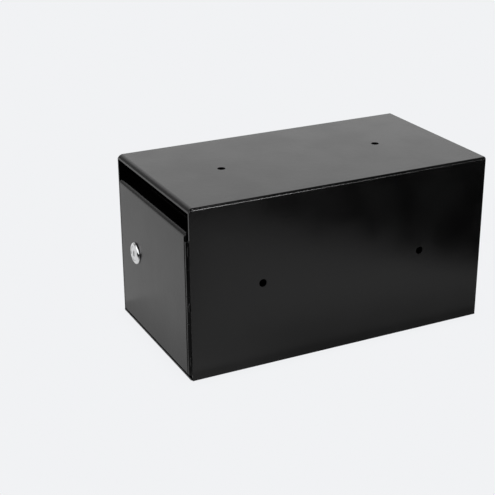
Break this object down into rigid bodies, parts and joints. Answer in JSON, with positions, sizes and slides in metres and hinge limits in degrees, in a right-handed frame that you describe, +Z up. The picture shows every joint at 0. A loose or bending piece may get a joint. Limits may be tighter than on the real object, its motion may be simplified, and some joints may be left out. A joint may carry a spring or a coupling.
{
  "type": "cash drop box",
  "caption": "Rectangular sheet-steel cash drop box: hinged, key-locked door on the narrow front, deposit slot above it, fixing holes in top and sides.",
  "frame": {"origin": "centre of the underside", "axes": "+Z up, -Y out of the door, +X to the right of a person who faces the door"},
  "size_m": [0.153, 0.2805, 0.148],
  "materials": {
    "powder_coat": "black semi-gloss powder coat with fine orange peel",
    "zinc_steel": "bright zinc plate",
    "chrome": "polished chrome plate",
    "wafer_brass": "stamped brass",
    "spring_steel": "drawn spring wire"
  },
  "bodies": {
    "box": {"body_wrap": "powder_coat", "bottom_panel": "powder_coat", "back_panel": "powder_coat", "slot_baffle": "powder_coat", "cam_strike": "powder_coat", "hinge_body_leaf": "powder_coat", "hinge_pin": "zinc_steel"},
    "door": {"door_panel": "powder_coat", "hinge_door_leaf": "powder_coat", "lock_housing": "chrome", "lock_washer": "zinc_steel", "lock_nut": "zinc_steel"},
    "lock_core": {"lock_plug": "chrome", "lock_cam": "zinc_steel", "cam_washer": "zinc_steel", "cam_screw": "zinc_steel", "wafer_spring_1": "spring_steel", "wafer_spring_2": "spring_steel", "wafer_spring_3": "spring_steel", "wafer_spring_4": "spring_steel", "wafer_spring_5": "spring_steel"},
    "wafers": {"wafer_1": "wafer_brass", "wafer_2": "wafer_brass", "wafer_3": "wafer_brass", "wafer_4": "wafer_brass", "wafer_5": "wafer_brass"}
  },
  "joints": [
    {"name": "door_swing", "type": "hinge", "parent": "box", "child": "door", "pos_m": [0.0723, -0.1379, 0.0621], "axis": [0, 0, 1], "range_deg": [0, 110]},
    {"name": "lock_turn", "type": "hinge", "parent": "door", "child": "lock_core", "pos_m": [-0.038, -0.1396, 0.0695], "axis": [0, 1, 0], "range_deg": [0, 90]},
    {"name": "wafer_slide", "type": "slide", "parent": "lock_core", "child": "wafers", "axis": [0, 0, 1], "range_m": [0, 0.0007], "deforming": ["wafer_spring_1", "wafer_spring_2", "wafer_spring_3", "wafer_spring_4", "wafer_spring_5"]}
  ]
}
